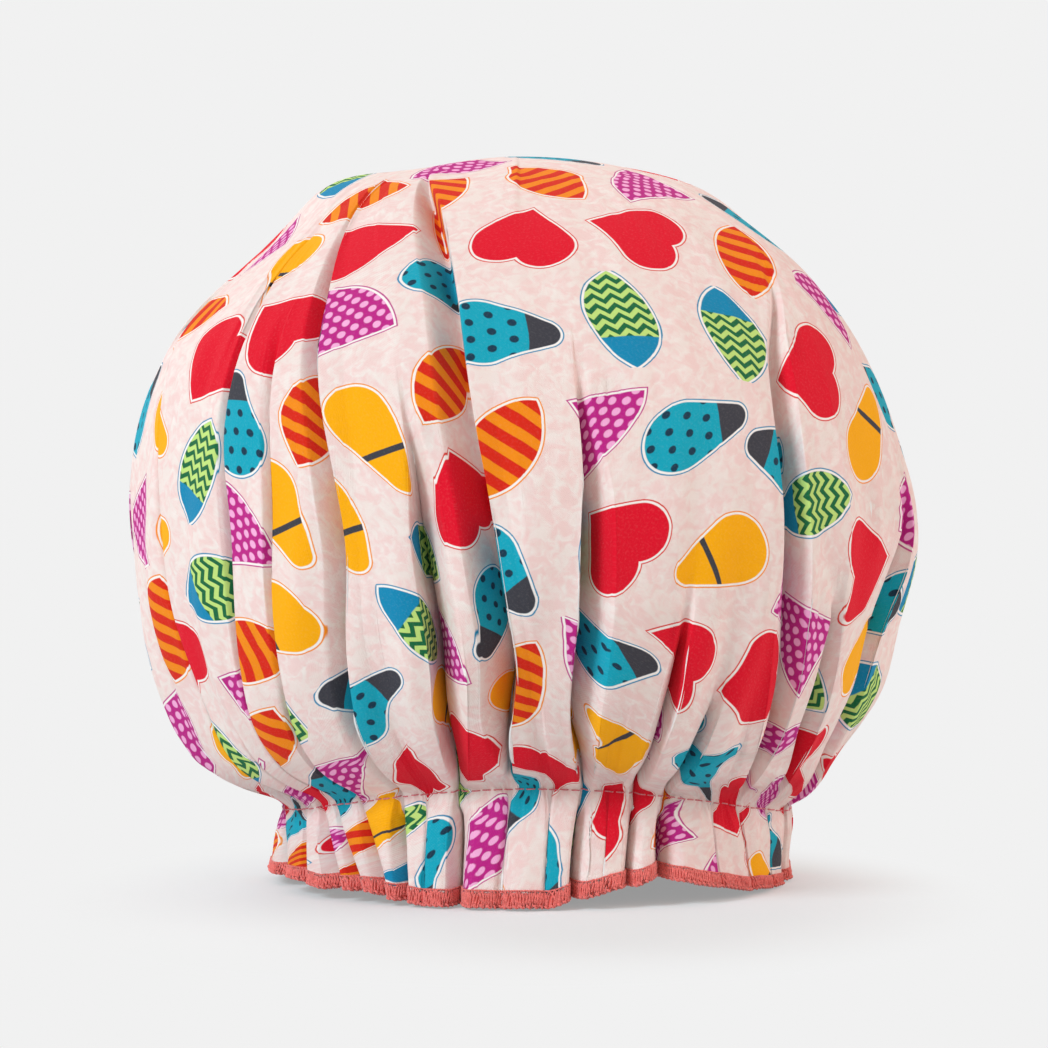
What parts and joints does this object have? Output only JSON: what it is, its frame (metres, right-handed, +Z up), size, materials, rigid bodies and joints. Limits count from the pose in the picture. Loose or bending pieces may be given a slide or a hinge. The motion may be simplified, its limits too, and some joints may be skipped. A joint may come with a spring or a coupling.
{
  "type": "shower cap",
  "caption": "Gathered fabric shower cap with a waterproof lining, a sewn-in elastic and an overlocked frill, standing on its hem.",
  "frame": {"origin": "on the ground that the hem stands on, under the middle of the cap's box", "axes": "+X to the right across the width, -Y to the front that the picture shows, +Z up to the crown"},
  "size_m": [0.2344, 0.2278, 0.216],
  "materials": {
    "printed_cotton": "plain-woven printed cotton, matt",
    "lining_film": "thin milky plastic film, satin",
    "elastic": "narrow ribbed knitted elastic, white",
    "join_thread": "white sewing thread",
    "seam_thread": "pinkish red sewing thread",
    "overlock_thread": "soft coral overlock thread"
  },
  "bodies": {
    "root": {"outer_shell": "printed_cotton", "waterproof_lining": "lining_film", "elastic_band": "elastic", "elastic_join_stitching": "join_thread", "gather_needle_thread": "seam_thread", "gather_bobbin_thread": "seam_thread", "overlock_outer_looper": "overlock_thread", "overlock_inner_looper": "overlock_thread", "overlock_needle_thread": "overlock_thread"}
  },
  "joints": []
}
